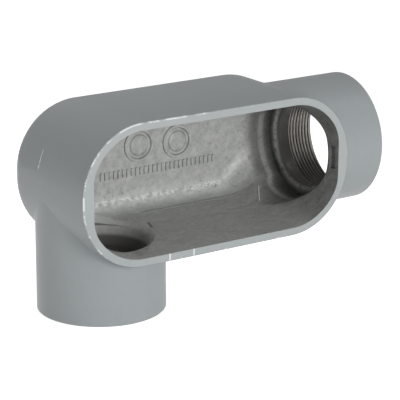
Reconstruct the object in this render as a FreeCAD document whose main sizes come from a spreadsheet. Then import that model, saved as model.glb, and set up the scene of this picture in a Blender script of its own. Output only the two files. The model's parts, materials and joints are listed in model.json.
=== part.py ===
import FreeCAD, Part
import Sketcher

import math
import os

# A cast conduit body of the LR pattern, open and without its cover: a long trough with round
# ends, a threaded hub out of one end and a second one out of the long side, near the far end.
# Each hub has an integral bushing behind its thread, where the conduit's end stops.
#
# Frame: millimetres, +Z up.  The origin is the centre of the side hub's end face.  The side
# hub runs up +Z into the trough, the end hub leaves along +X and the cover opening faces -Y.

SIZES = {
    # bore of a hub, from its face inwards; the trade size sets the thread, and it all the rest
    "thread_radius": (30.1, "bore at the thread's outside diameter"),
    "thread_length": (18.7, "depth of the threaded bore"),
    "lead_in": (1.2, "chamfer at the mouth of the thread"),
    "relief_step": (2.4, "thread's outside radius less that of the plain bore behind it"),
    "relief_length": (7.0, "length of that plain bore"),
    "bushing_step": (1.9, "plain bore's radius less that of the integral bushing"),
    "bushing_length": (3.9, "thickness of the end hub's bushing"),
    "bushing_round": (2.5, "lip of the end hub's bushing"),
    "recess_step": (0.4, "recess before that bushing, clear of the chamber's back"),
    "recess_bevel": (1.2, "bevel on the lip of the recess"),
    "side_throat_bevel": (3.5, "bevel between the chamber floor and the side hub"),
    # hubs
    "end_hub_wall": (6.4, "wall of the end hub round its thread"),
    "end_hub_length": (29.8, "trough's end to the end hub's face"),
    "side_hub_wall": (5.1, "wall of the side hub round its thread"),
    "side_hub_length": (33.5, "long wall to the side hub's face"),
    "side_hub_set_in": (0.5, "trough's end to the side hub's outside"),
    "hub_clearance": (5.5, "rim face to the end hub's outside"),
    "hub_blend": (4.0, "fillet where a hub leaves the trough"),
    # trough, seen from the cover opening
    "trough_length": (171.2, "over the two round ends"),
    "trough_shoulder": (2.5, "end hub's outside to the plane of a long wall"),
    "end_flat": (4.0, "straight stretch between the two corner arcs of a round end"),
    "back_set": (0.5, "back, clear of the end hub's outside"),
    "back_round": (13.5, "rounding between walls and back, outside"),
    "edge_break": (0.6, "chamfer on the outer edges of the rim and the hubs' faces"),
    # wiring chamber inside it
    "side_wall": (4.3, "thickness of the long walls at the rim"),
    "end_wall": (6.5, "thickness of the end walls at the rim"),
    "back_wall": (4.6, "thickness of the back"),
    "chamber_draft": (3.0, "draft of the chamber's walls, degrees"),
    "chamber_corner": (20.0, "rounding where its end walls cut the corner arcs off"),
    "chamber_round": (14.0, "rounding between walls and back, inside"),
    # catch for the cover's clamp in the end wall beside the end hub
    "catch_width": (13.0, "across the end wall"),
    "catch_start": (2.5, "rim face to the catch"),
    "catch_length": (5.0, "along the chamber's depth"),
    "catch_depth": (1.6, "into the end wall"),
    # flat ground where the casting's gate was cut off, on the closed round end
    "gate_flat_depth": (0.7, "material taken off the round end"),
    "gate_flat_angle": (160.0, "direction the flat faces, from +X towards +Z, degrees"),
    "gate_flat_start": (47.0, "rim face to the near edge of the flat"),
}


class Size:
    """A length from the sheet, or a sum of such lengths: its value and its expression."""

    def __init__(self, value, text):
        self.value = value
        self.text = text

    def __add__(self, other):
        return Size(self.value + other.value, "(%s + %s)" % (self.text, other.text))

    def __sub__(self, other):
        return Size(self.value - other.value, "(%s - %s)" % (self.text, other.text))

    def __mul__(self, factor):
        return Size(self.value * factor, "%s * %s" % (self.text, factor))

    def __neg__(self):
        return Size(-self.value, "-%s" % self.text)


def size(name):
    return Size(SIZES[name][0], "Sizes." + name)


# ---- places worked out from the driving sizes -------------------------------------------

RELIEF_RADIUS = size("thread_radius") - size("relief_step")
THROAT_RADIUS = RELIEF_RADIUS - size("bushing_step")
END_HUB_RADIUS = size("thread_radius") + size("end_hub_wall")
SIDE_HUB_RADIUS = size("thread_radius") + size("side_hub_wall")
HUB_DEPTH = END_HUB_RADIUS + size("hub_clearance")
HALF_LENGTH = size("trough_length") * 0.5
HALF_WIDTH = END_HUB_RADIUS + size("trough_shoulder")
END_RADIUS = HALF_WIDTH - size("end_flat") * 0.5
ROUND_CENTRE = HALF_LENGTH - END_RADIUS
TROUGH_X = HALF_LENGTH - SIDE_HUB_RADIUS - size("side_hub_set_in")
TROUGH_Z = size("side_hub_length") + HALF_WIDTH
END_FACE_X = TROUGH_X + HALF_LENGTH + size("end_hub_length")
BACK_Y = END_HUB_RADIUS + size("back_set")
TROUGH_DEPTH = HUB_DEPTH + BACK_Y
CHAMBER_HALF_LENGTH = HALF_LENGTH - size("end_wall")
CHAMBER_HALF_WIDTH = HALF_WIDTH - size("side_wall")
CHAMBER_RADIUS = END_RADIUS - size("side_wall")
CHAMBER_DEPTH = TROUGH_DEPTH - size("back_wall")
CHAMBER_BACK_Y = BACK_Y - size("back_wall")
RECESS_RADIUS = CHAMBER_BACK_Y - size("recess_step")
THREAD_END = size("thread_length")
RELIEF_END = THREAD_END + size("relief_length")
BUSHING_END = RELIEF_END + size("bushing_length")
RECESS_END = size("end_hub_length") + END_RADIUS
ZERO = Size(0.0, "0")

NEAR = 1e-4  # how close an edge must lie to a plane to count as in it


# ---- helpers ------------------------------------------------------------------------------


def make_sheet(doc):
    """Put the driving sizes into a spreadsheet, one alias a row."""
    sheet = doc.addObject("Spreadsheet::Sheet", "Sizes")
    for row, (alias, (value, note)) in enumerate(SIZES.items(), start=1):
        sheet.set("A%d" % row, alias)
        sheet.set("B%d" % row, str(value))
        sheet.set("C%d" % row, note)
        sheet.setAlias("B%d" % row, alias)
    doc.recompute()


def add_sketch(body, name, plane, offset=(), angle=None):
    """Start a sketch on one of the body's own planes, moved within and off that plane."""
    sketch = body.newObject("Sketcher::SketchObject", name)
    support = [item for item in body.Origin.OriginFeatures if item.Role == plane]
    sketch.AttachmentSupport = [(support[0], "")]
    sketch.MapMode = "FlatFace"
    for axis, amount in zip("xyz", offset):
        if amount is not ZERO:
            sketch.setExpression("AttachmentOffset.Base." + axis, amount.text)
    if angle:
        sketch.setExpression("AttachmentOffset.Rotation.Angle", angle.text)
    return sketch


def drive(sketch, amount, *parts):
    """Give the sketch a dimension that reads the sheet."""
    index = sketch.addConstraint(Sketcher.Constraint(*parts, amount.value))
    sketch.setExpression("Constraints[%d]" % index, amount.text)


def relate(sketch, *parts):
    sketch.addConstraint(Sketcher.Constraint(*parts))


def add_feature(body, kind, name, **settings):
    """Add a feature after the body's tip and set its properties, bound where they are sizes."""
    feature = body.newObject("PartDesign::" + kind, name)
    for key, amount in settings.items():
        if isinstance(amount, Size):
            feature.setExpression(key, amount.text)
        else:
            setattr(feature, key, amount)
    body.Document.recompute()
    return feature


def dress_up(body, kind, name, key, amount, wanted):
    """Round or break the tip's edges that the test picks out."""
    base = body.Tip
    picked = ["Edge%d" % (i + 1) for i, edge in enumerate(base.Shape.Edges) if wanted(edge)]
    if not picked:
        raise RuntimeError("no edge for " + name)
    return add_feature(body, kind, name, Base=(base, picked), **{key: amount})


def cut(body, kind, name, **settings):
    """Add a pocket or groove and make sure that it took material away."""
    before = body.Shape.Volume
    feature = add_feature(body, kind, name, **settings)
    if not body.Shape.Volume < before - 1.0:
        raise RuntimeError(name + " cuts nothing")
    return feature


# ---- outlines -----------------------------------------------------------------------------


def line(start, end):
    return Part.LineSegment(FreeCAD.Vector(*start, 0), FreeCAD.Vector(*end, 0))


def arc(centre, radius, start, end):
    circle = Part.Circle(FreeCAD.Vector(*centre, 0), FreeCAD.Vector(0, 0, 1), radius)
    return Part.ArcOfCircle(circle, start, end)


def draw_round_ended(sketch, half_length, half_width, radius, centre=None):
    """Outline about the sketch's origin: two long walls, two short ones and corner arcs.

    The arcs run smoothly into the walls.  With centre given, they run smoothly only into the
    long walls, with their centres that far along them, and the short walls cut them off.
    """
    a, b, r = half_length.value, half_width.value, radius.value
    c = centre.value if centre else a - r
    level = b - r
    cut_off = math.acos((a - c) / r)
    rise = level + r * math.sin(cut_off)
    turn = math.pi / 2
    top, top_right, right, low_right, bottom, low_left, left, top_left = sketch.addGeometry([
        line((-c, b), (c, b)),
        arc((c, level), r, cut_off, turn),
        line((a, rise), (a, -rise)),
        arc((c, -level), r, 3 * turn, 4 * turn - cut_off),
        line((c, -b), (-c, -b)),
        arc((-c, -level), r, 2 * turn + cut_off, 3 * turn),
        line((-a, -rise), (-a, rise)),
        arc((-c, level), r, turn, 2 * turn - cut_off),
    ])
    for wall in (top, bottom):
        relate(sketch, "Horizontal", wall)
    for wall in (right, left):
        relate(sketch, "Vertical", wall)
    for joint in ((top, 2, top_right, 2), (low_right, 1, bottom, 1),
                  (bottom, 2, low_left, 2), (top_left, 1, top, 1)):
        relate(sketch, "Tangent", *joint)
    for joint in ((top_right, 1, right, 1), (right, 2, low_right, 2),
                  (low_left, 1, left, 1), (left, 2, top_left, 2)):
        relate(sketch, "Coincident" if centre else "Tangent", *joint)
    for corner in (low_right, low_left, top_left):
        relate(sketch, "Equal", top_right, corner)
    drive(sketch, radius, "Radius", top_right)
    drive(sketch, half_length, "DistanceX", -1, 1, right, 1)
    drive(sketch, half_length, "DistanceX", left, 1, -1, 1)
    drive(sketch, half_width, "DistanceY", -1, 1, top, 1)
    drive(sketch, half_width, "DistanceY", bottom, 1, -1, 1)
    if centre:
        relate(sketch, "Vertical", top_right, 3, low_right, 3)
        relate(sketch, "Vertical", top_left, 3, low_left, 3)
        drive(sketch, centre, "DistanceX", -1, 1, top_right, 3)
        drive(sketch, centre, "DistanceX", top_left, 3, -1, 1)


def draw_circle(sketch, radius):
    """A circle about the sketch's origin."""
    circle = Part.Circle(FreeCAD.Vector(0, 0, 0), FreeCAD.Vector(0, 0, 1), radius.value)
    index = sketch.addGeometry(circle)
    relate(sketch, "Coincident", index, 3, -1, 1)
    drive(sketch, radius, "Radius", index)


def draw_rectangle(sketch, left, right, bottom, top):
    """An upright rectangle between four signed distances from the sketch's origin."""
    corners = [(left, bottom), (right, bottom), (right, top), (left, top)]
    draw_polygon(sketch, corners)


def draw_polygon(sketch, corners):
    """A closed polygon through corners given as pairs of signed sizes."""
    places = [(x.value, y.value) for x, y in corners]
    sides = sketch.addGeometry([
        line(start, end) for start, end in zip(places, places[1:] + places[:1])
    ])
    for side, following in zip(sides, sides[1:] + sides[:1]):
        relate(sketch, "Coincident", side, 2, following, 1)
    for side, (x, y) in zip(sides, corners):
        hold(sketch, side, "DistanceX", x, -2)
        hold(sketch, side, "DistanceY", y, -1)


def hold(sketch, side, direction, amount, axis):
    """Fix the start of a side at a signed distance from the origin, or on the axis itself."""
    if amount is ZERO:
        relate(sketch, "PointOnObject", side, 1, axis)
    elif amount.value < 0:
        drive(sketch, -amount, direction, side, 1, -1, 1)
    else:
        drive(sketch, amount, direction, -1, 1, side, 1)


# ---- the casting --------------------------------------------------------------------------


def in_plane(edge, axis, place):
    """True if the whole edge lies in the plane across the axis at that place."""
    return all(abs(getattr(point, axis) - place) < NEAR for point in points_on(edge))


def on_cylinder(edge, centre, axis, radius):
    """True if the edge lies on that cylinder and runs round it, not along it."""
    points = points_on(edge)
    along = (points[-1] - points[0]).normalize()
    if abs(along.dot(axis)) > 1 - NEAR:
        return False
    return all(abs((point - centre).cross(axis).Length - radius) < 10 * NEAR for point in points)


def points_on(edge, count=9):
    first, last = edge.ParameterRange
    return [edge.valueAt(first + (last - first) * step / count) for step in range(count)]


SIDE_AXIS = FreeCAD.Vector(0, 0, 1)
SIDE_CENTRE = FreeCAD.Vector(0, 0, 0)
END_AXIS = FreeCAD.Vector(1, 0, 0)
END_CENTRE = FreeCAD.Vector(0, 0, TROUGH_Z.value)


def add_trough(body):
    """The round-ended block that the chamber is cored out of, with its back edge rounded."""
    sketch = add_sketch(body, "TroughOutline", "XZ_Plane", (TROUGH_X, TROUGH_Z, HUB_DEPTH))
    draw_round_ended(sketch, HALF_LENGTH, HALF_WIDTH, END_RADIUS)
    add_feature(body, "Pad", "Trough", Profile=sketch, Length=TROUGH_DEPTH, Reversed=True)

    def at_back(edge):
        return in_plane(edge, "y", BACK_Y.value)

    dress_up(body, "Fillet", "BackRound", "Radius", size("back_round"), at_back)


def cut_gate_flat(body):
    """The flat left on the closed round end where the casting's gate was cut and ground off."""
    arc_centre = TROUGH_Z + size("end_flat") * 0.5
    place = (TROUGH_X - ROUND_CENTRE, arc_centre, HUB_DEPTH - size("gate_flat_start"))
    sketch = add_sketch(body, "GateFlatOutline", "XZ_Plane", place, size("gate_flat_angle"))
    reach = END_RADIUS - size("gate_flat_depth")
    clear = END_RADIUS + size("gate_flat_depth")
    draw_rectangle(sketch, reach, clear, -HALF_WIDTH, HALF_WIDTH)
    cut(body, "Pocket", "GateFlat", Profile=sketch, Length=TROUGH_DEPTH)


def add_hubs(body):
    """Both hubs, from their faces into the trough, and the fillets they leave it with."""
    side = add_sketch(body, "SideHubOutline", "XY_Plane")
    draw_circle(side, SIDE_HUB_RADIUS)
    add_feature(body, "Pad", "SideHub", Profile=side, Length=TROUGH_Z)

    end = add_sketch(body, "EndHubOutline", "YZ_Plane", (ZERO, TROUGH_Z, END_FACE_X))
    draw_circle(end, END_HUB_RADIUS)
    add_feature(body, "Pad", "EndHub", Profile=end, Length=RECESS_END, Reversed=True)

    def at_side_hub(edge):
        radius = SIDE_HUB_RADIUS.value
        return not in_plane(edge, "z", 0) and on_cylinder(edge, SIDE_CENTRE, SIDE_AXIS, radius)

    def at_end_hub(edge):
        radius = END_HUB_RADIUS.value
        face = END_FACE_X.value
        return not in_plane(edge, "x", face) and on_cylinder(edge, END_CENTRE, END_AXIS, radius)

    dress_up(body, "Fillet", "SideHubBlend", "Radius", size("hub_blend"), at_side_hub)
    dress_up(body, "Fillet", "EndHubBlend", "Radius", size("hub_blend"), at_end_hub)


def cut_chamber(body):
    """The wiring chamber: drafted walls, soft corners at its ends and a rounded back."""
    sketch = add_sketch(body, "ChamberOutline", "XZ_Plane", (TROUGH_X, TROUGH_Z, HUB_DEPTH))
    draw_round_ended(sketch, CHAMBER_HALF_LENGTH, CHAMBER_HALF_WIDTH, CHAMBER_RADIUS,
                     ROUND_CENTRE)
    cut(body, "Pocket", "Chamber", Profile=sketch, Length=CHAMBER_DEPTH,
        TaperAngle=-size("chamber_draft"))

    def at_corner(edge):
        points = points_on(edge)
        rim = -HUB_DEPTH.value
        across = abs(points[0].x - TROUGH_X.value)
        starts = min(abs(point.y - rim) for point in points) < 1
        runs_in = abs(points[-1].y - points[0].y) > HALF_WIDTH.value
        return starts and runs_in and abs(across - CHAMBER_HALF_LENGTH.value) < 5

    def at_chamber_back(edge):
        return in_plane(edge, "y", CHAMBER_BACK_Y.value)

    dress_up(body, "Fillet", "ChamberCorners", "Radius", size("chamber_corner"), at_corner)
    dress_up(body, "Fillet", "ChamberRound", "Radius", size("chamber_round"), at_chamber_back)


def hub_bore(inner_steps):
    """Half section of a hub's bore as (depth from the hub's face, radius) pairs."""
    thread = size("thread_radius")
    return [
        (ZERO, ZERO),
        (ZERO, thread + size("lead_in")),
        (size("lead_in"), thread),
        (THREAD_END, thread),
        (THREAD_END, RELIEF_RADIUS),
        (RELIEF_END, RELIEF_RADIUS),
        (RELIEF_END, THROAT_RADIUS),
    ] + inner_steps + [(inner_steps[-1][0], ZERO)]


def cut_bores(body):
    """The two hubs' bores, turned about their axes from one half section."""
    throat = THROAT_RADIUS
    side = add_sketch(body, "SideBoreSection", "XZ_Plane")
    side_section = hub_bore([(TROUGH_Z, throat)])
    draw_polygon(side, [(radius, depth) for depth, radius in side_section])
    cut(body, "Groove", "SideBore", Profile=side, ReferenceAxis=(side, ["V_Axis"]))

    end = add_sketch(body, "EndBoreSection", "XZ_Plane", (END_FACE_X, TROUGH_Z, ZERO))
    end_section = hub_bore([
        (BUSHING_END, throat), (BUSHING_END, RECESS_RADIUS), (RECESS_END, RECESS_RADIUS)])
    draw_polygon(end, [(-depth, radius) for depth, radius in end_section])
    cut(body, "Groove", "EndBore", Profile=end, ReferenceAxis=(end, ["H_Axis"]))


def ease_lips(body):
    """The eased lips that wires are drawn over: bushing, recess and side hub entry."""
    throat = THROAT_RADIUS.value
    bushing_face = (END_FACE_X - BUSHING_END).value

    def at_bushing(edge):
        return in_plane(edge, "x", bushing_face) and on_cylinder(edge, END_CENTRE, END_AXIS, throat)

    def at_recess(edge):
        radius = RECESS_RADIUS.value
        inside = not in_plane(edge, "x", bushing_face)
        return inside and on_cylinder(edge, END_CENTRE, END_AXIS, radius)

    def at_side_throat(edge):
        inside = not in_plane(edge, "z", RELIEF_END.value)
        return inside and on_cylinder(edge, SIDE_CENTRE, SIDE_AXIS, throat)

    dress_up(body, "Fillet", "BushingLip", "Radius", size("bushing_round"), at_bushing)
    dress_up(body, "Chamfer", "RecessLip", "Size", size("recess_bevel"), at_recess)
    dress_up(body, "Chamfer", "SideThroatLip", "Size", size("side_throat_bevel"), at_side_throat)


def cut_catch(body):
    """The catch behind the rim that the cover's clamp hooks into."""
    place = (ZERO, TROUGH_Z, TROUGH_X + CHAMBER_HALF_LENGTH + size("catch_depth"))
    sketch = add_sketch(body, "CatchOutline", "YZ_Plane", place)
    start = size("catch_start") - HUB_DEPTH
    half = size("catch_width") * 0.5
    draw_rectangle(sketch, start, start + size("catch_length"), -half, half)
    cut(body, "Pocket", "Catch", Profile=sketch, Length=size("end_wall"))


def break_edges(body):
    """Small chamfers on the sharp outer edges: the rim and the two hubs' faces."""
    rim = -HUB_DEPTH.value

    def at_faces(edge):
        at_hubs = in_plane(edge, "z", 0) or in_plane(edge, "x", END_FACE_X.value)
        return at_hubs or in_plane(edge, "y", rim)

    dress_up(body, "Chamfer", "EdgeBreaks", "Size", size("edge_break"), at_faces)


def make_casting(doc):
    body = doc.addObject("PartDesign::Body", "conduit_body")
    body.Label = "conduit_body"
    add_trough(body)
    cut_gate_flat(body)
    add_hubs(body)
    break_edges(body)
    cut_chamber(body)
    cut_catch(body)
    cut_bores(body)
    ease_lips(body)
    body.Placement = FreeCAD.Placement()
    return body


def check(doc, parts):
    """Stop unless every feature computed and every part is one sound solid."""
    for item in doc.Objects:
        if "Invalid" in item.State or "Error" in item.State:
            raise RuntimeError("%s: %s" % (item.Name, item.State))
    for part in parts:
        if part.Shape.isNull() or not part.Shape.isValid() or len(part.Shape.Solids) != 1:
            raise RuntimeError(part.Label + " is not one sound solid")


def main():
    doc = FreeCAD.newDocument("ConduitBody")
    make_sheet(doc)
    parts = [make_casting(doc)]
    doc.recompute()
    check(doc, parts)
    os.makedirs("parts", exist_ok=True)
    for part in parts:
        part.Shape.exportStep(os.path.join("parts", part.Label + ".step"))
        print(part.Label, "%.0f mm3" % part.Shape.Volume)


main()
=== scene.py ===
import json
import math

import bpy
from mathutils import Matrix, Vector

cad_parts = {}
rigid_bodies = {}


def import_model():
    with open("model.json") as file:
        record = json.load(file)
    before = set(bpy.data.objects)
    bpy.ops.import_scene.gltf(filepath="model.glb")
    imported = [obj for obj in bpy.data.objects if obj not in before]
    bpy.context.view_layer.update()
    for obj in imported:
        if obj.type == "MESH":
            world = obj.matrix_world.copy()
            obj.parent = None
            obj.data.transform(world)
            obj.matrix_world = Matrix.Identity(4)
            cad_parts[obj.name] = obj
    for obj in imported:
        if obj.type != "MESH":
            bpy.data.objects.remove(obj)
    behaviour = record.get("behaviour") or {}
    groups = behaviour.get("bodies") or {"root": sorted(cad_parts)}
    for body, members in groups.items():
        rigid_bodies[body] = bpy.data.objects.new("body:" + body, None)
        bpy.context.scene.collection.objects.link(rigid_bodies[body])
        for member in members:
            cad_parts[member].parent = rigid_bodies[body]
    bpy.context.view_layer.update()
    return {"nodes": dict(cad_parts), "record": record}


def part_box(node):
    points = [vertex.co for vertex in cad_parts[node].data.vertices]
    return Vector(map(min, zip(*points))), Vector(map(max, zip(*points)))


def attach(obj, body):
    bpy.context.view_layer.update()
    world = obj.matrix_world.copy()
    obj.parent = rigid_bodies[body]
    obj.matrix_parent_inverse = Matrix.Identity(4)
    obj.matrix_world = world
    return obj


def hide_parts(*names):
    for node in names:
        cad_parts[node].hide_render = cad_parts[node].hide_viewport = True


bl_info = {
    "name": "Conduit body",
    "version": (1, 0, 0),
    "blender": (4, 5, 0),
    "location": "View3D > Sidebar > Conduit body",
    "description": "Dresses the cast conduit body: paint, threads, foundry marks and a studio",
    "category": "Object",
}

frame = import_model()
NODE = "conduit_body"
MOUNTS = {mount["name"]: mount for mount in frame["record"]["mounts"]}
LOW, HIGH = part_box(NODE)

# main measures of the casting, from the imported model, in metres
MM = 0.001
HUB_HEIGHT = MOUNTS["end_hub"]["pos_m"][2]
THREAD_ROOT = MOUNTS["end_hub"]["dims"]["r_mm"] / 1000
SEAT = Vector(MOUNTS["cover_seat"]["pos_m"])
MOUTH = Vector((SEAT.x, SEAT.y, HUB_HEIGHT))
HALF_WIDTH = HIGH.z - HUB_HEIGHT
HALF_LENGTH = MOUTH.x - LOW.x
CORNER_RADIUS = HALF_WIDTH - 2 * MM
THROAT_RADIUS = THREAD_ROOT - 4.3 * MM
RECESS_RADIUS = HIGH.y - 5 * MM
BACK = HIGH.y - 4.6 * MM
BUSHING_FACE = HIGH.x - 29.6 * MM
CHAMBER_END = BUSHING_FACE - 11.7 * MM
FLOOR_TOP = HUB_HEIGHT - 30.5 * MM


# ---------------------------------------------------------------- settings


class PaintSettings(bpy.types.PropertyGroup):
    """The grey paint and what shows through it."""

    outside: bpy.props.FloatVectorProperty(
        name="Outside", description="Paint on the outer walls and hubs",
        subtype="COLOR", size=3, min=0, max=1, default=(0.325, 0.350, 0.357))
    rim: bpy.props.FloatVectorProperty(
        name="Rim", description="Paint on the ground face that the cover sits on",
        subtype="COLOR", size=3, min=0, max=1, default=(0.385, 0.410, 0.412))
    inside: bpy.props.FloatVectorProperty(
        name="Inside", description="Thin paint on the rough walls of the wiring chamber",
        subtype="COLOR", size=3, min=0, max=1, default=(0.405, 0.412, 0.398))
    # worn iron on the edges, and also the colour of the painted glints on the chamber's fillet
    bare_and_glints: bpy.props.FloatVectorProperty(
        name="Bare edges", description="Iron where the paint has worn off an edge",
        subtype="COLOR", size=3, min=0, max=1, default=(0.80, 0.82, 0.82))
    bore: bpy.props.FloatVectorProperty(
        name="Bore", description="Oily bare iron in the hubs' bores and the thread's grooves",
        subtype="COLOR", size=3, min=0, max=1, default=(0.100, 0.096, 0.088))
    # rubbed iron on the crests, which also serves as a painted highlight there
    crest: bpy.props.FloatVectorProperty(
        name="Crest", description="Rubbed iron on the crests of the thread",
        subtype="COLOR", size=3, min=0, max=1, default=(0.42, 0.40, 0.375))
    gloss: bpy.props.FloatProperty(
        name="Roughness", description="Roughness of the satin paint",
        min=0.05, max=1, default=0.42)
    skin: bpy.props.FloatProperty(
        name="Cast skin", description="Height of the sand-cast skin under the paint inside",
        subtype="DISTANCE", unit="LENGTH", min=0, max=0.001, default=0.00045, precision=5)


class ThreadSettings(bpy.types.PropertyGroup):
    """The taper pipe thread cut into each hub."""

    pitch: bpy.props.FloatProperty(
        name="Pitch", description="Distance from one crest to the next",
        subtype="DISTANCE", unit="LENGTH", min=0.0005, max=0.01, default=0.002209, precision=5)
    height: bpy.props.FloatProperty(
        name="Height", description="Height of the ridge above its root",
        subtype="DISTANCE", unit="LENGTH", min=0.0002, max=0.005, default=0.00165, precision=5)
    crest: bpy.props.FloatProperty(
        name="Crest", description="Width of the flat on the ridge's crest",
        subtype="DISTANCE", unit="LENGTH", min=0.00005, max=0.002, default=0.00022, precision=5)
    taper: bpy.props.FloatProperty(
        name="Taper", description="Loss of radius over the thread's length, as a ratio",
        min=0, max=0.2, default=1 / 32, precision=4)
    turns: bpy.props.IntProperty(
        name="Turns", description="Whole turns of the helix", min=1, max=30, default=9)
    lead_in: bpy.props.FloatProperty(
        name="Lead-in", description="Radius of the countersink at the hub's face",
        subtype="DISTANCE", unit="LENGTH", min=0.01, max=0.05, default=0.0313, precision=5)


class MarkSettings(bpy.types.PropertyGroup):
    """Plain foundry marks on the back of the wiring chamber."""

    pad_radius: bpy.props.FloatProperty(
        name="Pad radius", description="Radius of the two round core pads",
        subtype="DISTANCE", unit="LENGTH", min=0.001, max=0.02, default=0.0097, precision=5)
    pad_height: bpy.props.FloatProperty(
        name="Pad height", description="How far the pads stand off the back",
        subtype="DISTANCE", unit="LENGTH", min=0.0001, max=0.003, default=0.0009, precision=5)
    rib_width: bpy.props.FloatProperty(
        name="Rib width", description="Width of one upright rib in the row",
        subtype="DISTANCE", unit="LENGTH", min=0.0002, max=0.005, default=0.0015, precision=5)
    rib_length: bpy.props.FloatProperty(
        name="Rib length", description="Length of one upright rib",
        subtype="DISTANCE", unit="LENGTH", min=0.001, max=0.02, default=0.0046, precision=5)
    rib_height: bpy.props.FloatProperty(
        name="Rib height", description="How far the ribs stand off the back",
        subtype="DISTANCE", unit="LENGTH", min=0.0001, max=0.003, default=0.0008, precision=5)
    ribs: bpy.props.IntProperty(
        name="Ribs", description="Upright ribs in the long row", min=1, max=60, default=27)
    rib_step: bpy.props.FloatProperty(
        name="Rib spacing", description="From one rib to the next",
        subtype="DISTANCE", unit="LENGTH", min=0.001, max=0.02, default=0.0029, precision=5)


class StudioSettings(bpy.types.PropertyGroup):
    """Floor, light and camera."""

    azimuth: bpy.props.FloatProperty(
        name="Azimuth", description="Turn of the view from square on, to the left",
        subtype="ANGLE", default=math.radians(34.34))
    elevation: bpy.props.FloatProperty(
        name="Elevation", description="Height of the view above level",
        subtype="ANGLE", default=math.radians(16.55))
    roll: bpy.props.FloatProperty(
        name="Roll", description="Tilt of the camera about its own axis",
        subtype="ANGLE", default=math.radians(0.166))
    distance: bpy.props.FloatProperty(
        name="Distance", description="Camera to the middle of the mouth",
        subtype="DISTANCE", unit="LENGTH", min=0.1, default=1.028)
    aside: bpy.props.FloatProperty(
        name="Aside", description="How far the mouth's middle lies right of the view's middle",
        subtype="DISTANCE", unit="LENGTH", default=0.01138, precision=5)
    above: bpy.props.FloatProperty(
        name="Above", description="How far the mouth's middle lies above the view's middle",
        subtype="DISTANCE", unit="LENGTH", default=0.01011, precision=5)
    lens: bpy.props.FloatProperty(
        name="Lens", description="Focal length on a 36 mm wide sensor, in millimetres",
        min=10, max=500, default=173.9)
    floor_size: bpy.props.FloatProperty(
        name="Floor", description="Side of the square floor",
        subtype="DISTANCE", unit="LENGTH", min=1, default=8.0)
    floor_tone: bpy.props.FloatVectorProperty(
        name="Floor tone", description="Colour of the floor",
        subtype="COLOR", size=3, min=0, max=1, default=(0.86, 0.86, 0.86))
    floor_glow: bpy.props.FloatProperty(
        name="Floor glow", description="Light added to the floor where it is seen, to make it white",
        min=0, max=1, default=0.72)
    ambient: bpy.props.FloatProperty(
        name="Ambient", description="Strength of the even light from all round",
        min=0, max=5, default=0.36)


# ---------------------------------------------------------------- workshop helpers


def select_only(*objects):
    if bpy.context.object and bpy.context.object.mode != "OBJECT":
        bpy.ops.object.mode_set(mode="OBJECT")
    bpy.ops.object.select_all(action="DESELECT")
    for obj in objects:
        obj.select_set(True)
    bpy.context.view_layer.objects.active = objects[0] if objects else None


def start(name):
    """Names the primitive just added and returns it."""
    obj = bpy.context.active_object
    obj.name = name
    obj.data.name = name
    return obj


def pick(obj, kind, test):
    """In edit mode, selects only the edges or faces whose middle passes the test."""
    bpy.ops.mesh.select_mode(type={"edges": "EDGE", "faces": "FACE"}[kind])
    bpy.ops.mesh.select_all(action="DESELECT")
    bpy.ops.object.mode_set(mode="OBJECT")
    mesh = obj.data
    found = 0
    for item in {"edges": mesh.edges, "faces": mesh.polygons}[kind]:
        corners = [mesh.vertices[i].co for i in item.vertices]
        item.select = bool(test(sum(corners, Vector()) / len(corners)))
        found += item.select
    bpy.ops.object.mode_set(mode="EDIT")
    if not found:
        raise RuntimeError("nothing to pick on " + obj.name)


def put_in_place(obj):
    """Applies the object's place, turn and scale to its mesh."""
    select_only(obj)
    bpy.ops.object.transform_apply(location=True, rotation=True, scale=True)


def apply_all(obj):
    select_only(obj)
    for modifier in list(obj.modifiers):
        bpy.ops.object.modifier_apply(modifier=modifier.name)


def outward(obj):
    """Merges doubled points and turns every face outwards."""
    select_only(obj)
    bpy.ops.object.mode_set(mode="EDIT")
    bpy.ops.mesh.select_all(action="SELECT")
    bpy.ops.mesh.remove_doubles(threshold=1e-6)
    bpy.ops.mesh.normals_make_consistent(inside=False)
    bpy.ops.object.mode_set(mode="OBJECT")


def mark_faces(piece, name, test):
    """Keeps a yes or no for each face of the piece, for its paint to read."""
    marks = piece.data.attributes.new(name, "FLOAT", "FACE")
    for face, mark in zip(piece.data.polygons, marks.data):
        mark.value = float(test(face))


def finish_piece(obj, material):
    """Hands a finished piece to the casting's body, with its paint."""
    obj.data.materials.clear()
    obj.data.materials.append(material)
    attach(obj, "root")


# ---------------------------------------------------------------- node recipes


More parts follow.
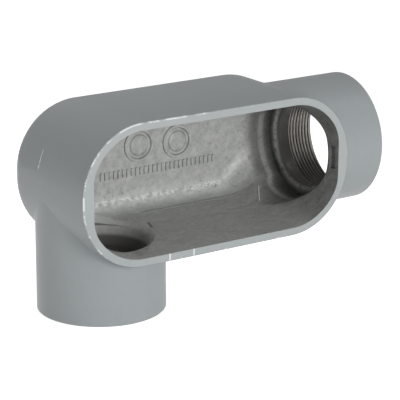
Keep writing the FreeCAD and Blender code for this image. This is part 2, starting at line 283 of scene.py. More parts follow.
class Recipe:
    """The node tree of a material or a world, with short calls to add nodes and join them."""

    def __init__(self, owner, output):
        owner.use_nodes = True
        self.owner = owner
        self.tree = owner.node_tree
        self.tree.nodes.clear()
        self.output = self.node(output)

    def node(self, kind, **settings):
        made = self.tree.nodes.new(kind)
        for key, value in settings.items():
            setattr(made, key, value)
        return made

    def plug(self, socket, value):
        """Links another node's socket to this one, or sets its number or colour."""
        if isinstance(value, bpy.types.NodeSocket):
            self.tree.links.new(value, socket)
        elif hasattr(value, "__len__"):
            opaque = (1.0,) if socket.type == "RGBA" else ()
            socket.default_value = (*value, *opaque)
        else:
            socket.default_value = value

    def math(self, operation, *values):
        made = self.node("ShaderNodeMath", operation=operation)
        for socket, value in zip(made.inputs, values):
            self.plug(socket, value)
        return made.outputs[0]

    def chain(self, operation, values):
        result = values[0]
        for value in values[1:]:
            result = self.math(operation, result, value)
        return result

    def add(self, *values):
        return self.chain("ADD", values)

    def times(self, *values):
        return self.chain("MULTIPLY", values)

    def larger(self, *values):
        return self.chain("MAXIMUM", values)

    def minus(self, first, second):
        return self.math("SUBTRACT", first, second)

    def away(self, value, middle):
        """Distance of a value from the middle, without its sign."""
        return self.math("ABSOLUTE", self.minus(value, middle))

    def radius(self, first, second):
        """Distance from an axis, by the two coordinates square to it."""
        squares = self.add(self.times(first, first), self.times(second, second))
        return self.math("SQRT", squares)

    def centred(self, noise, strength):
        """Noise turned into a change of tone about zero."""
        return self.times(self.minus(noise, 0.5), strength)

    def step(self, value, low, high, out_low=0.0, out_high=1.0):
        """Smooth change from out_low to out_high while the value goes from low to high."""
        made = self.node("ShaderNodeMapRange", interpolation_type="SMOOTHSTEP")
        for name, number in (("Value", value), ("From Min", low), ("From Max", high),
                             ("To Min", out_low), ("To Max", out_high)):
            self.plug(made.inputs[name], number)
        return made.outputs["Result"]

    def fade(self, value, low, high):
        """One below low, falling smoothly to zero at high."""
        return self.step(value, low, high, 1.0, 0.0)

    def band(self, value, middle, half, soft):
        """One within half of the middle, falling to zero over the soft width."""
        return self.fade(self.away(value, middle), half, half + soft)

    def between(self, share, first, second):
        """The first value where the share is zero, the second where it is one."""
        made = self.node("ShaderNodeMix", data_type="FLOAT")
        self.plug(made.inputs["Factor"], share)
        self.plug(made.inputs[2], first)
        self.plug(made.inputs[3], second)
        return made.outputs[0]

    def toned(self, mask, tone):
        """One away from the mask, and the tone on it."""
        return self.between(mask, 1.0, tone)

    def blend(self, share, first, second, blend_type="MIX"):
        """The first colour where the share is zero, the second where it is one."""
        made = self.node("ShaderNodeMix", data_type="RGBA", blend_type=blend_type)
        self.plug(made.inputs["Factor"], share)
        self.plug(made.inputs[6], first)
        self.plug(made.inputs[7], second)
        return made.outputs[2]

    def shaded(self, colour, tone):
        """The colour made darker or lighter by a tone."""
        grey = self.node("ShaderNodeCombineColor")
        for channel in grey.inputs[:3]:
            self.plug(channel, tone)
        return self.blend(1.0, colour, grey.outputs[0], "MULTIPLY")

    def show(self, surface):
        self.plug(self.output.inputs["Surface"], surface)

    def white_to_the_eye(self, lit, white, also=()):
        """Shows white to the camera and the other named rays, and the lit shader to the rest."""
        path = self.node("ShaderNodeLightPath")
        rays = ("Is Camera Ray", "Is Transmission Ray", *also)
        mix = self.node("ShaderNodeMixShader")
        self.plug(mix.inputs[0], self.larger(*(path.outputs[ray] for ray in rays)))
        self.plug(mix.inputs[1], lit)
        self.plug(mix.inputs[2], white)
        self.show(mix.outputs[0])


class Finish(Recipe):
    """A material that follows the piece's own coordinates, in metres."""

    def __init__(self, name):
        super().__init__(bpy.data.materials.new(name), "ShaderNodeOutputMaterial")
        self.place = self.node("ShaderNodeTexCoord").outputs["Object"]
        split = self.node("ShaderNodeSeparateXYZ")
        self.plug(split.inputs[0], self.place)
        self.x, self.y, self.z = split.outputs[:3]

    def attribute(self, name):
        return self.node("ShaderNodeAttribute", attribute_name=name).outputs["Fac"]

    def grain(self, size, detail, roughness):
        """Noise whose lumps are about size metres across."""
        made = self.node("ShaderNodeTexNoise")
        self.plug(made.inputs["Vector"], self.place)
        self.plug(made.inputs["Scale"], 1.0 / size)
        self.plug(made.inputs["Detail"], detail)
        self.plug(made.inputs["Roughness"], roughness)
        return made.outputs["Fac"]

    def bump(self, height, distance, normal=None):
        made = self.node("ShaderNodeBump")
        self.plug(made.inputs["Height"], height)
        self.plug(made.inputs["Distance"], distance)
        self.plug(made.inputs["Strength"], 1.0)
        if normal is not None:
            self.plug(made.inputs["Normal"], normal)
        return made.outputs["Normal"]

    def finish(self, **sockets):
        """Joins the shader and gives the finished material."""
        shader = self.node("ShaderNodeBsdfPrincipled")
        for name, value in sockets.items():
            self.plug(shader.inputs[name.replace("_", " ")], value)
        self.show(shader.outputs[0])
        return self.owner


# ---------------------------------------------------------------- the casting's paint

# where casting, tools and use have marked the iron, in metres
FILE_MARKS = (MOUTH.x - 32.8 * MM, MOUTH.x - 17.5 * MM)
GATE = Vector((LOW.x + 10.7 * MM, 6.2 * MM, HUB_HEIGHT + 14 * MM))
SCRAPE = Vector((32.2 * MM, 0.8 * MM))
SCRAPE_TURN = math.radians(16.26)
FLASH = Vector((CHAMBER_END - 11 * MM, 10.4 * MM))
FLASH_TURN = math.radians(33.5)
SEAM = Vector((MOUTH.x + 23.1 * MM, BACK - 12.4 * MM))
THROAT_EDGE = HUB_HEIGHT - 34.2 * MM

# the fillet below the chamber's back: level as far as its turn, then it climbs at its slope
FILLET_TURN = MOUTH.x + 51.1 * MM
FILLET_SLOPE = 0.87
# heights of the painted sheen and the painted glints along that fillet
SHEEN_HEIGHT = HUB_HEIGHT - 26 * MM
GLINT_HEIGHT = HUB_HEIGHT - 25.6 * MM


class CastFinish(Finish):
    """The casting's surface: what is inside, what is rim, and the grains that its marks share."""

    def __init__(self, name):
        super().__init__(name)
        self.inside = self.attribute("inside")
        self.cloud = self.grain(38 * MM, 2.0, 0.5)
        self.mottle = self.grain(4.5 * MM, 4.0, 0.6)
        self.clump = self.grain(2.2 * MM, 3.0, 0.65)
        self.speck = self.grain(0.55 * MM, 2.0, 0.6)
        self.at_rim = self.fade(self.y, SEAT.y + 0.25 * MM, SEAT.y + 0.9 * MM)
        self.from_end_axis = self.radius(self.y, self.minus(self.z, HUB_HEIGHT))
        self.from_side_axis = self.radius(self.x, self.y)
        # painted shade low in the end hub, darker towards its bottom
        in_hub = self.step(self.x, BUSHING_FACE - 0.7 * MM, BUSHING_FACE + 0.3 * MM)
        self.low_hub_shade = self.toned(in_hub, self.step(
            self.z, HUB_HEIGHT - 20.5 * MM, HUB_HEIGHT - 6.5 * MM, 0.55, 1.0))

    def from_outline(self):
        """Distance from the trough's outline, negative inside it."""
        along = self.minus(self.away(self.x, MOUTH.x), HALF_LENGTH - CORNER_RADIUS)
        across = self.minus(self.away(self.z, HUB_HEIGHT), HALF_WIDTH - CORNER_RADIUS)
        corner = self.radius(self.larger(along, 0.0), self.larger(across, 0.0))
        return self.minus(corner, CORNER_RADIUS)

    def floor_stroke(self, middle, turn, half_width, half_length, soft_end):
        """A straight mark on the chamber's floor, turned from square to the mouth."""
        soft_side = 0.5 * MM
        ahead, beside = self.minus(self.x, middle.x), self.minus(self.y, middle.y)
        cos, sin = math.cos(turn), math.sin(turn)
        across = self.minus(self.times(ahead, cos), self.times(beside, sin))
        along = self.add(self.times(ahead, sin), self.times(beside, cos))
        return self.times(self.inside, self.band(across, 0.0, half_width, soft_side),
                          self.band(along, 0.0, half_length, soft_end))


def worn_edge_and_highlight(cast):
    """Paint nicked off the rim's outer edge, with a painted highlight along it, most of all on its upper
    left where the light falls.
    """
    near_edge = cast.band(cast.from_outline(), -0.2 * MM, 0.35 * MM, 0.6 * MM)
    upper_left = cast.step(cast.minus(cast.z, cast.x), 62 * MM, 92 * MM, 0.0, 0.18)
    patch = cast.add(cast.grain(7 * MM, 3.0, 0.6), cast.times(cast.speck, 0.4), upper_left)
    return cast.times(near_edge, cast.at_rim, cast.step(patch, 0.80, 0.94))


def file_marks(cast):
    """Two strokes of a file across the rim's lower side."""
    low = cast.fade(cast.z, HUB_HEIGHT - 35 * MM, HUB_HEIGHT - 34 * MM)
    strokes = [cast.band(cast.x, place, 0.25 * MM, 0.3 * MM) for place in FILE_MARKS]
    return cast.times(cast.larger(*strokes), low, cast.at_rim)


def gate_scar(cast):
    """Bare iron where the gate was ground off the closed end."""
    ragged = cast.add(cast.y, cast.times(cast.clump, 2 * MM))
    return cast.times(cast.band(ragged, GATE.y, 0.5 * MM, 0.5 * MM),
                      cast.band(cast.z, GATE.z, 4.2 * MM, 1.5 * MM),
                      cast.fade(cast.x, GATE.x - 2 * MM, GATE.x),
                      cast.step(cast.speck, 0.34, 0.46))


def fillet_light(cast):
    """Painted highlights on the fillet low on the chamber's back: a broad sheen, and glints on the rough
    skin.
    """
    past_turn = cast.larger(cast.minus(cast.x, FILLET_TURN), 0.0)
    height = cast.minus(cast.z, cast.times(past_turn, FILLET_SLOPE))
    there = cast.times(cast.inside, cast.step(cast.y, BACK - 18.4 * MM, BACK - 8.4 * MM),
                       cast.fade(cast.x, CHAMBER_END - 5 * MM, CHAMBER_END))
    sheen = cast.times(there, cast.band(height, SHEEN_HEIGHT, 0.8 * MM, 5 * MM))
    glints = cast.times(there, cast.band(height, GLINT_HEIGHT, 0.5 * MM, 1.2 * MM),
                        cast.step(cast.clump, 0.49, 0.55), cast.step(cast.speck, 0.43, 0.52),
                        cast.step(cast.x, FILLET_TURN - 6 * MM, FILLET_TURN + 7 * MM, 1.0, 0.12))
    return sheen, glints


def floor_scrape(cast):
    """A dark scrape on the chamber's floor, beside the side hub's throat."""
    stroke = cast.floor_stroke(SCRAPE, SCRAPE_TURN, 0.6 * MM, 3.4 * MM, 1.6 * MM)
    return cast.times(stroke, cast.fade(cast.z, FLOOR_TOP, FLOOR_TOP + 4 * MM),
                      cast.step(cast.clump, 0.32, 0.46))


def core_flash(cast):
    """The thin flash that a joint of the core left across the floor's corner."""
    stroke = cast.floor_stroke(FLASH, FLASH_TURN, 0.3 * MM, 7 * MM, 1.5 * MM)
    return cast.times(stroke, cast.fade(cast.z, FLOOR_TOP + 8 * MM, FLOOR_TOP + 12 * MM))


def throat_groove(cast):
    """A dark line along the edge where the floor drops into the side hub's throat."""
    return cast.times(cast.inside, cast.band(cast.z, THROAT_EDGE, 0.5 * MM, 0.5 * MM),
                      cast.fade(cast.from_side_axis, THROAT_RADIUS + 0.2 * MM,
                                THROAT_RADIUS + 0.8 * MM))


def recess_shade(cast):
    """Painted shade in the recess before the bushing, darker deep in and on the bushing's face, with a
    painted highlight along the lip's ridge.
    """
    curled_foot = cast.step(cast.z, FLOOR_TOP + 1 * MM, FLOOR_TOP + 8 * MM, 4.5 * MM, 0.0)
    deep = cast.add(cast.x, curled_foot)
    wall = cast.step(deep, BUSHING_FACE - 5.2 * MM, BUSHING_FACE - 0.9 * MM, 0.45, 0.24)
    face = cast.step(cast.from_end_axis, THROAT_RADIUS + 2.4 * MM, THROAT_RADIUS + 5.7 * MM,
                     0.62, 0.24)
    on_face = cast.step(cast.x, BUSHING_FACE - 0.3 * MM, BUSHING_FACE - 0.1 * MM)
    # painted highlight along the recess's lip
    ridge = cast.times(cast.band(deep, BUSHING_FACE - 6.7 * MM, 0.6 * MM, 2.2 * MM),
                       cast.fade(cast.z, HUB_HEIGHT + 7.5 * MM, HUB_HEIGHT + 15.5 * MM),
                       cast.step(cast.mottle, 0.20, 0.45, 0.55, 1.0))
    shade = cast.between(ridge, cast.between(on_face, wall, face), 0.85)
    # less painted shade low down, by the floor
    foot = cast.step(cast.z, FLOOR_TOP + 2 * MM, FLOOR_TOP + 10 * MM, 1.9, 1.0)
    there = cast.times(cast.inside, cast.step(cast.x, CHAMBER_END - 8.5 * MM, CHAMBER_END + 0.5 * MM),
                       cast.fade(cast.from_end_axis, RECESS_RADIUS + 0.3 * MM, RECESS_RADIUS + 1.5 * MM))
    return cast.toned(there, cast.times(shade, foot))


def chamber_shade(cast):
    """Painted shade in the chamber: darker towards the end wall's front and low in the end hub."""
    front = cast.step(cast.x, CHAMBER_END - 24 * MM, CHAMBER_END, 1.0, 0.52)
    to_the_back = cast.step(cast.y, BACK - 18.4 * MM, BACK - 6.4 * MM)
    return cast.toned(cast.inside, cast.between(to_the_back, front, cast.low_hub_shade))


def lip_wear_and_highlight(cast):
    """Paint rubbed off the bushing's lip, with a painted highlight along it."""
    return cast.times(cast.inside, cast.band(cast.x, BUSHING_FACE + 0.3 * MM, 0.5 * MM, 0.3 * MM),
                      cast.band(cast.from_end_axis, THROAT_RADIUS + 1.7 * MM, 0.6 * MM, 0.7 * MM),
                      cast.step(cast.clump, 0.36, 0.52))


def cut_bores(cast):
    """Bare iron where the hubs' bores were cut after casting, fading into the side hub's throat."""
    end = cast.times(cast.step(cast.x, BUSHING_FACE + 0.9 * MM, BUSHING_FACE + 1.7 * MM),
                     cast.fade(cast.from_end_axis, THREAD_ROOT + 0.4 * MM, THREAD_ROOT + 0.8 * MM))
    side = cast.times(cast.step(cast.z, THROAT_EDGE - 7.3 * MM, THROAT_EDGE - 4.3 * MM, 0.88, 0.0),
                      cast.fade(cast.from_side_axis, THREAD_ROOT + 0.2 * MM, THREAD_ROOT + 0.5 * MM))
    return cast.larger(end, side)


def smooth_tone(cast):
    """Slight clouds in the paint outside."""
    return cast.add(cast.centred(cast.cloud, 0.10), cast.centred(cast.mottle, 0.08),
                    cast.centred(cast.speck, 0.06))


def rough_tone(cast):
    """Mottling of the paint inside: calm on the floor, with pits by the back's end and foot."""
    on_floor = cast.fade(cast.z, FLOOR_TOP, FLOOR_TOP + 3 * MM)
    pitted = cast.larger(cast.step(cast.x, CHAMBER_END - 40 * MM, CHAMBER_END - 24 * MM),
                         cast.band(cast.z, FLOOR_TOP + 7 * MM, 3 * MM, 3 * MM))
    pits = cast.times(pitted, cast.step(cast.clump, 0.28, 0.38, -0.30, 0.0))
    grain = cast.add(cast.centred(cast.mottle, 0.75), cast.centred(cast.clump, 0.5),
                     cast.centred(cast.speck, 0.4), pits)
    return cast.minus(cast.times(grain, cast.toned(on_floor, 0.3)), cast.times(on_floor, 0.04))


def cast_relief(cast, skin_height, bore, flash):
    """The paint's fine peel outside, and inside the sand-cast skin with its flash and seam."""
    peel = cast.add(cast.times(cast.grain(1.3 * MM, 2.0, 0.5), 0.7), cast.times(cast.speck, 0.3))
    soft = cast.bump(peel, cast.between(cast.inside, 0.035 * MM, 0.0))
    seam = cast.times(cast.band(cast.x, SEAM.x, 30 * MM, 4 * MM),
                      cast.band(cast.y, SEAM.y, 0.4 * MM, 0.7 * MM),
                      cast.fade(cast.z, FLOOR_TOP, FLOOR_TOP + 1 * MM))
    skin = cast.add(cast.grain(3.2 * MM, 5.0, 0.66), cast.times(cast.grain(9 * MM, 2.0, 0.5), 2.2),
                    cast.times(cast.larger(seam, flash), 1.3))
    return cast.bump(skin, cast.times(cast.inside, cast.toned(bore, 0.2), skin_height), soft)


def cast_paint(settings):
    """Satin grey paint over sand-cast iron: smooth outside, rough and thin in the chamber."""
    cast = CastFinish("cast_paint")
    sheen, glints = fillet_light(cast)
    flash = core_flash(cast)
    bore = cut_bores(cast)

    tone = cast.add(cast.between(cast.inside, smooth_tone(cast), rough_tone(cast)), 1.0)
    # painted shade in the recess, in the chamber and along the marks' steep sides, and the painted sheen
    # on the fillet
    tone = cast.times(tone, cast.toned(floor_scrape(cast), 0.35), recess_shade(cast),
                      cast.toned(throat_groove(cast), 0.35),
                      cast.toned(cast.attribute("side_shade"), 0.66),
                      cast.toned(sheen, 1.30), chamber_shade(cast))

    # the lip's wear with its painted highlight and the rubbed flash, dimmed by the painted shade low in
    # the hub
    rubbed_and_highlit = cast.larger(cast.times(lip_wear_and_highlight(cast), 0.3), cast.times(flash, 0.5))
    # bare iron worn through the paint, together with the painted glints on the fillet
    bare_and_glints = cast.larger(cast.times(rubbed_and_highlit, cast.low_hub_shade), worn_edge_and_highlight(cast), file_marks(cast),
                       gate_scar(cast), glints)

    colour = cast.blend(cast.at_rim, settings.outside, settings.rim)
    colour = cast.blend(cast.inside, colour, settings.inside)
    colour = cast.blend(bore, cast.shaded(colour, tone), settings.bore)
    colour = cast.blend(bare_and_glints, colour, settings.bare_and_glints)

    outside = cast.add(cast.centred(cast.mottle, 0.16), settings.gloss)
    inside = cast.step(cast.clump, 0.40, 0.62, 0.58, 0.30)
    roughness = cast.between(bare_and_glints, cast.between(cast.inside, outside, inside), 0.32)
    normal = cast_relief(cast, settings.skin, bore, flash)
    return cast.finish(Base_Color=colour, Roughness=roughness, Normal=normal,
                       Specular_IOR_Level=0.28)


def cut_iron(settings):
    """Iron as the tap left it: dark grooves, and crests that are rubbed and carry a painted highlight,
    with painted shade low in the hub and under its roof.
    """
    iron = Finish("cut_iron")
    patch = iron.grain(3.5 * MM, 4.0, 0.65)
    fine = iron.grain(0.5 * MM, 2.0, 0.6)
    # painted shade low in the hub and under the hub's roof
    thread_low_shade = iron.fade(iron.z, HUB_HEIGHT - 22.5 * MM, HUB_HEIGHT - 11.5 * MM)
    roof_shade = iron.step(iron.z, HUB_HEIGHT + 5.5 * MM, HUB_HEIGHT + 13.5 * MM, 1.0, 0.5)
    # the crests' rubbed iron, with a painted highlight on them
    crest = iron.add(iron.attribute("crest"), iron.centred(patch, 0.6))
    rubbed_and_highlit = iron.times(iron.step(crest, 0.35, 0.9), iron.toned(thread_low_shade, 0.3))
    tone = iron.times(iron.add(iron.times(fine, 0.8), 1.9), roof_shade, iron.toned(thread_low_shade, 0.60))
    colour = iron.shaded(iron.blend(rubbed_and_highlit, settings.bore, settings.crest), tone)
    return iron.finish(Base_Color=colour, Roughness=iron.step(patch, 0.3, 0.7, 0.50, 0.34),
                       Metallic=0.35, Normal=iron.bump(fine, 0.03 * MM))


# ---------------------------------------------------------------- the casting


def is_inside(middle):
    """Whether a point of the casting's surface belongs to the chamber or to a hub's bore."""
    along = max(abs(middle.x - MOUTH.x) - (HALF_LENGTH - CORNER_RADIUS), 0.0)
    across = max(abs(middle.z - HUB_HEIGHT) - (HALF_WIDTH - CORNER_RADIUS), 0.0)
    from_outline = math.hypot(along, across) - CORNER_RADIUS
    wall = 3 * MM + 0.11 * max(middle.y - 10 * MM, 0.0)
    in_chamber = from_outline < -wall and SEAT.y + 0.1 * MM < middle.y < HIGH.y - 3 * MM

    widest_bore = THREAD_ROOT + 2.2 * MM
    end_bore = middle.x > MOUTH.x and math.hypot(middle.y, middle.z - HUB_HEIGHT) < widest_bore
    side_bore = middle.z < HUB_HEIGHT and math.hypot(middle.x, middle.y) < widest_bore
    on_hub_face = middle.x > HIGH.x - 0.1 * MM or middle.z < LOW.z + 0.1 * MM
    in_bore = (end_bore or side_bore) and not on_hub_face and middle.y < HIGH.y - 2 * MM
    return in_chamber or in_bore


class OBJECT_OT_conduit_casting(bpy.types.Operator):
    """Make the smooth-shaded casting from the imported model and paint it"""

    bl_idname = "object.conduit_casting"
    bl_label = "Casting"

    def execute(self, context):
        node = frame["nodes"][NODE]
        casting = bpy.data.objects.new("casting", node.data.copy())
        context.scene.collection.objects.link(casting)
        select_only(casting)
        bpy.ops.mesh.customdata_custom_splitnormals_clear()
        bpy.ops.object.mode_set(mode="EDIT")
        bpy.ops.mesh.select_all(action="SELECT")
        bpy.ops.mesh.mark_sharp(clear=True)
        bpy.ops.mesh.remove_doubles(threshold=2e-6)
        bpy.ops.object.mode_set(mode="OBJECT")
        bpy.ops.object.shade_smooth_by_angle(angle=math.radians(52))
        weigh = casting.modifiers.new("even_shading", "WEIGHTED_NORMAL")
        weigh.mode = "FACE_AREA"
        weigh.keep_sharp = True
        apply_all(casting)
        mark_faces(casting, "inside", lambda face: is_inside(face.center))
        finish_piece(casting, cast_paint(context.scene.conduit_paint))
        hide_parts(NODE)
        return {"FINISHED"}


# ---------------------------------------------------------------- threads

# the thread's root lies just inside the bore's wall, so that no gap shows
ROOT_RADIUS = THREAD_ROOT - 0.05 * MM
CLOSE = 0.01 * MM


def thread_section(name, settings):
    """The ridge's section as a closed loop of edges, one turn's start below the hub's face."""
    outer = settings.lead_in + 0.3 * MM
    width = settings.pitch - 0.004 * MM
    depth = (settings.turns + 0.52) * settings.pitch
    select_only()
    bpy.ops.mesh.primitive_plane_add(
        size=1, location=((ROOT_RADIUS + outer) / 2, 0, -depth), rotation=(math.pi / 2, 0, 0))
    thread = start(name)
    thread.scale = (outer - ROOT_RADIUS, width, 1)
    put_in_place(thread)

    # the inner edge is drawn in and narrowed to the crest
    bpy.ops.object.mode_set(mode="EDIT")
    pick(thread, "edges", lambda middle: middle.x < ROOT_RADIUS + CLOSE)
    bpy.ops.mesh.extrude_edges_move(TRANSFORM_OT_translate={"value": (-settings.height, 0, 0)})
    bpy.ops.transform.resize(value=(1, 1, settings.crest / width),
                             center_override=(ROOT_RADIUS - settings.height, 0, -depth))
    pick(thread, "edges", lambda middle: abs(middle.x - ROOT_RADIUS) < CLOSE
         and abs(middle.z + depth) < CLOSE)
    bpy.ops.mesh.dissolve_edges(use_verts=False)
    bpy.ops.mesh.select_all(action="SELECT")
    bpy.ops.mesh.delete(type="ONLY_FACE")
    bpy.ops.object.mode_set(mode="OBJECT")
    return thread


def wind(thread, settings):
    """Turns the section into a helix and closes its two ends."""
    helix = thread.modifiers.new("helix", "SCREW")
    helix.axis = "Z"
    helix.angle = math.tau
    helix.screw_offset = settings.pitch
    helix.iterations = settings.turns
    helix.steps = helix.render_steps = 96
    helix.use_smooth_shade = True
    apply_all(thread)
    bpy.ops.object.mode_set(mode="EDIT")
    bpy.ops.mesh.select_all(action="SELECT")
    bpy.ops.mesh.fill_holes(sides=0)
    bpy.ops.object.mode_set(mode="OBJECT")
    outward(thread)


def narrow(thread, settings):
    """Gives the helix its taper, narrower the deeper it lies."""
    heights = [point.co.z for point in thread.data.vertices]
    taper = thread.modifiers.new("taper", "SIMPLE_DEFORM")
    taper.deform_method = "TAPER"
    taper.deform_axis = "Z"
    taper.factor = settings.taper * (max(heights) - min(heights)) / ROOT_RADIUS
    apply_all(thread)


def countersink(thread, settings):
    """Cuts the first turn away at the hub's mouth."""
    below, above = 5 * MM, 2 * MM
    radius = settings.lead_in + 0.03 * MM
    bpy.ops.mesh.primitive_cone_add(
        vertices=96, radius1=radius - below, radius2=radius + above, depth=below + above,
        location=(0, 0, (above - below) / 2))
    cutter = start("countersink")
    put_in_place(cutter)
    cut = thread.modifiers.new("mouth", "BOOLEAN")
    cut.operation = "DIFFERENCE"
    cut.solver = "EXACT"
    cut.object = cutter
    apply_all(thread)
    bpy.data.objects.remove(cutter)


def mark_crest(thread, settings):
    """Keeps each point's share of the ridge's height, for the finish to read."""
    crest = thread.data.attributes.new("crest", "FLOAT", "POINT")
    for point, mark in zip(thread.data.vertices, crest.data):
        root_here = ROOT_RADIUS + settings.taper * point.co.z
        above = root_here - math.hypot(point.co.x, point.co.y)
        mark.value = min(max(above / settings.height, 0.0), 1.0)


def make_thread(name, settings):
    """One hub's thread, standing on its end: the hub's face is at height 0, the hub below."""
    thread = thread_section(name, settings)
    wind(thread, settings)
    narrow(thread, settings)
    countersink(thread, settings)
    select_only(thread)
    bpy.ops.object.shade_smooth_by_angle(angle=math.radians(32))
    mark_crest(thread, settings)
    return thread


class OBJECT_OT_conduit_threads(bpy.types.Operator):
    """Make the taper pipe thread of both hubs"""

    bl_idname = "object.conduit_threads"
    bl_label = "Threads"

    def execute(self, context):
        iron = cut_iron(context.scene.conduit_paint)
        end = make_thread("end_hub_thread", context.scene.conduit_thread)
        side = end.copy()
        side.data = end.data.copy()
        side.name = side.data.name = "side_hub_thread"
        context.scene.collection.objects.link(side)
        end.matrix_world = (Matrix.Translation((HIGH.x, 0, HUB_HEIGHT))
                            @ Matrix.Rotation(math.pi / 2, 4, "Y"))
        side.matrix_world = (Matrix.Translation((0, 0, LOW.z))
                             @ Matrix.Rotation(math.pi, 4, "X"))
        for thread in (end, side):
            put_in_place(thread)
            finish_piece(thread, iron)
        return {"FINISHED"}


# ---------------------------------------------------------------- foundry marks

# places on the chamber's back: right of the mouth's middle and above it, in metres
PADS = {
    "core_pad_left": (-4.7 * MM, 4.0 * MM),
    "core_pad_right": (21.0 * MM, 2.6 * MM),
}
RIB_ROW = (8 * MM, -11 * MM)

# a pad's front from its edge inwards, in millimetres: width and rise of each step, which make
# a flat ring, the slope down from it, a flat hollow and a domed middle
PAD_STEPS = ((1.3, 0), (0.5, -0.8), (1.4, 0), (0.7, 0.45), (1.3, 0.3), (1.5, 0.12))


def chamber_back(aside, up):
    """The point of the chamber's back behind a point of the mouth."""
    casting = bpy.data.objects["casting"]
    in_mouth = Vector((MOUTH.x + aside, MOUTH.y + 5 * MM, MOUTH.z + up))
    hit, place, _, _ = casting.ray_cast(in_mouth, Vector((0, 1, 0)))
    if not hit:
        raise RuntimeError("no back behind the mouth")
    return place


def make_pad(name, back, settings):
    """A round pad standing off the chamber's back."""
    sunk = 0.3 * MM
    front = back.y - settings.pad_height
    select_only()
    bpy.ops.mesh.primitive_cylinder_add(
        vertices=48, radius=settings.pad_radius, depth=settings.pad_height + sunk,
        location=(back.x, (front + back.y + sunk) / 2, back.z), rotation=(math.pi / 2, 0, 0))
    pad = start(name)
    put_in_place(pad)
    bpy.ops.object.mode_set(mode="EDIT")
    pick(pad, "faces", lambda middle: middle.y < front + CLOSE)
    bpy.ops.mesh.bevel(offset=0.3 * MM, segments=2)
    pick(pad, "faces", lambda middle: middle.y < front + CLOSE)
    for width, rise in PAD_STEPS:
        bpy.ops.mesh.inset(thickness=width * MM, depth=rise * MM)
    bpy.ops.object.mode_set(mode="OBJECT")
    return pad


def make_rib(back, settings):
    """One upright rib with a rounded front."""
    front = back.y - settings.rib_height
    select_only()
    bpy.ops.mesh.primitive_cube_add(
        size=1, location=back,
        scale=(settings.rib_width, 2 * settings.rib_height, settings.rib_length))
    rib = start("rib")
    put_in_place(rib)
    bpy.ops.object.mode_set(mode="EDIT")
    pick(rib, "faces", lambda middle: middle.y < front + CLOSE)
    bpy.ops.mesh.bevel(offset=0.35 * settings.rib_width, segments=2)
    bpy.ops.object.mode_set(mode="OBJECT")
    return rib


class OBJECT_OT_conduit_marks(bpy.types.Operator):
    """Add the plain foundry marks to the chamber's back"""

    bl_idname = "object.conduit_marks"
    bl_label = "Foundry marks"

    def execute(self, context):
        settings = context.scene.conduit_marks
        for name, place in PADS.items():
            self.finish_mark(make_pad(name, chamber_back(*place), settings))

        aside, up = RIB_ROW
        ribs = []
        for count in range(settings.ribs):
            along = (count - (settings.ribs - 1) / 2) * settings.rib_step
            ribs.append(make_rib(chamber_back(aside + along, up), settings))
        select_only(*ribs)
        bpy.ops.object.join()
        self.finish_mark(start("cavity_ribs"))
        return {"FINISHED"}

    def finish_mark(self, piece):
        """Paints a mark like the chamber, with painted shade along its steep sides."""
        outward(piece)
        bpy.ops.object.shade_smooth_by_angle(angle=math.radians(50))
        mark_faces(piece, "inside", lambda face: True)
        mark_faces(piece, "side_shade", lambda face: face.normal.y > -0.85)
        finish_piece(piece, bpy.data.objects["casting"].data.materials[0])


# ---------------------------------------------------------------- studio

# each lamp: name, place from the point aimed at, width in metres, watts, and whether it gives
# soft light, reflections or both
LAMPS = (
    ("front", (-0.05, -1.39, 0.15), 0.9, 15.8, "both"),
    ("left", (-0.55, 0.10, -0.03), 0.25, 0.50, "both"),
    ("back", (0.03, 0.28, 0.22), 0.30, 0.50, "light"),
    ("spark", (0.76, -0.40, 1.10), 0.30, 1.4, "gloss"),
)


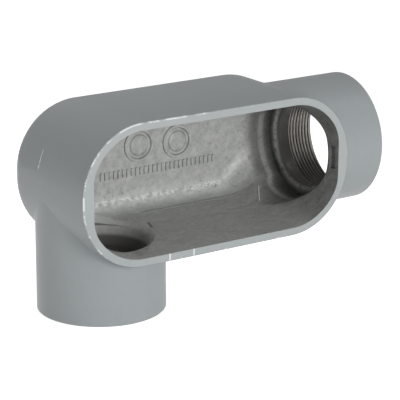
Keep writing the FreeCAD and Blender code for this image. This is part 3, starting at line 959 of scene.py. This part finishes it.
class OBJECT_OT_conduit_studio(bpy.types.Operator):
    """Set up the floor, the light and the camera"""

    bl_idname = "object.conduit_studio"
    bl_label = "Studio"

    def execute(self, context):
        settings = context.scene.conduit_studio
        self.lay_floor(settings)
        self.light_world(context.scene, settings)
        self.hang_lamps(context.scene)
        self.place_camera(context.scene, settings)
        context.scene.view_settings.view_transform = "Standard"
        return {"FINISHED"}

    def lay_floor(self, settings):
        select_only()
        bpy.ops.mesh.primitive_grid_add(
            x_subdivisions=4, y_subdivisions=4, size=settings.floor_size,
            location=(MOUTH.x, 0, LOW.z - 0.05 * MM))
        floor = start("floor")
        put_in_place(floor)
        paper = Recipe(bpy.data.materials.new("floor_paper"), "ShaderNodeOutputMaterial")
        lit = paper.node("ShaderNodeBsdfDiffuse")
        paper.plug(lit.inputs["Color"], settings.floor_tone)
        glow = paper.node("ShaderNodeEmission")
        paper.plug(glow.inputs["Strength"], settings.floor_glow)
        both = paper.node("ShaderNodeAddShader")
        paper.plug(both.inputs[0], lit.outputs[0])
        paper.plug(both.inputs[1], glow.outputs[0])
        paper.white_to_the_eye(lit.outputs[0], both.outputs[0], ("Is Glossy Ray",))
        floor.data.materials.append(paper.owner)

    def light_world(self, scene, settings):
        air = Recipe(bpy.data.worlds.new("studio"), "ShaderNodeOutputWorld")
        lights = []
        for strength in (settings.ambient, 1.0):
            shader = air.node("ShaderNodeBackground")
            air.plug(shader.inputs["Color"], (1.0, 1.0, 1.0))
            air.plug(shader.inputs["Strength"], strength)
            lights.append(shader.outputs[0])
        air.white_to_the_eye(*lights)
        scene.world = air.owner

    def hang_lamps(self, scene):
        aim = Vector((MOUTH.x, 0, HUB_HEIGHT * 0.8))
        for name, offset, size, power, gives in LAMPS:
            data = bpy.data.lights.new(name, "AREA")
            data.shape = "DISK"
            data.size = size
            data.energy = power
            lamp = bpy.data.objects.new(name, data)
            scene.collection.objects.link(lamp)
            lamp.location = aim + Vector(offset)
            lamp.rotation_euler = (aim - lamp.location).to_track_quat("-Z", "Y").to_euler()
            lamp.visible_camera = False
            lamp.visible_diffuse = gives != "gloss"
            lamp.visible_glossy = gives != "light"

    def place_camera(self, scene, settings):
        turn, rise = settings.azimuth, settings.elevation
        look = Vector((math.sin(turn) * math.cos(rise), math.cos(turn) * math.cos(rise),
                       -math.sin(rise)))
        right = Vector((math.cos(turn), -math.sin(turn), 0))
        up = right.cross(look)
        tilt = Matrix.Rotation(-settings.roll, 3, look)
        right, up = tilt @ right, tilt @ up
        stand = MOUTH - right * settings.aside - up * settings.above - look * settings.distance
        data = bpy.data.cameras.new("camera")
        data.sensor_width = 36
        data.lens = settings.lens
        camera = bpy.data.objects.new("camera", data)
        scene.collection.objects.link(camera)
        axes = Matrix((right, up, -look)).transposed()
        camera.matrix_world = Matrix.Translation(stand) @ axes.to_4x4()
        scene.camera = camera


# ---------------------------------------------------------------- panel


class VIEW3D_PT_conduit_body(bpy.types.Panel):
    """Sizes, colours and steps of the conduit body"""

    bl_label = "Conduit body"
    bl_idname = "VIEW3D_PT_conduit_body"
    bl_space_type = "VIEW_3D"
    bl_region_type = "UI"
    bl_category = "Conduit body"

    def draw(self, context):
        for title, name, _, step in GROUPS:
            box = self.layout.box()
            box.label(text=title)
            settings = getattr(context.scene, name)
            for key in settings.__annotations__:
                box.prop(settings, key)
            box.operator(step.bl_idname)


# each group of the panel: title, property of the scene, its settings and its operator
GROUPS = (
    ("Paint", "conduit_paint", PaintSettings, OBJECT_OT_conduit_casting),
    ("Threads", "conduit_thread", ThreadSettings, OBJECT_OT_conduit_threads),
    ("Foundry marks", "conduit_marks", MarkSettings, OBJECT_OT_conduit_marks),
    ("Studio", "conduit_studio", StudioSettings, OBJECT_OT_conduit_studio),
)


def register():
    for _, name, settings, step in GROUPS:
        bpy.utils.register_class(settings)
        setattr(bpy.types.Scene, name, bpy.props.PointerProperty(type=settings))
        bpy.utils.register_class(step)
    bpy.utils.register_class(VIEW3D_PT_conduit_body)


def unregister():
    bpy.utils.unregister_class(VIEW3D_PT_conduit_body)
    for _, name, settings, step in reversed(GROUPS):
        bpy.utils.unregister_class(step)
        delattr(bpy.types.Scene, name)
        bpy.utils.unregister_class(settings)


def main():
    register()
    bpy.ops.object.conduit_casting()
    bpy.ops.object.conduit_threads()
    bpy.ops.object.conduit_marks()
    bpy.ops.object.conduit_studio()
    select_only()


if __name__ == "__main__":
    main()
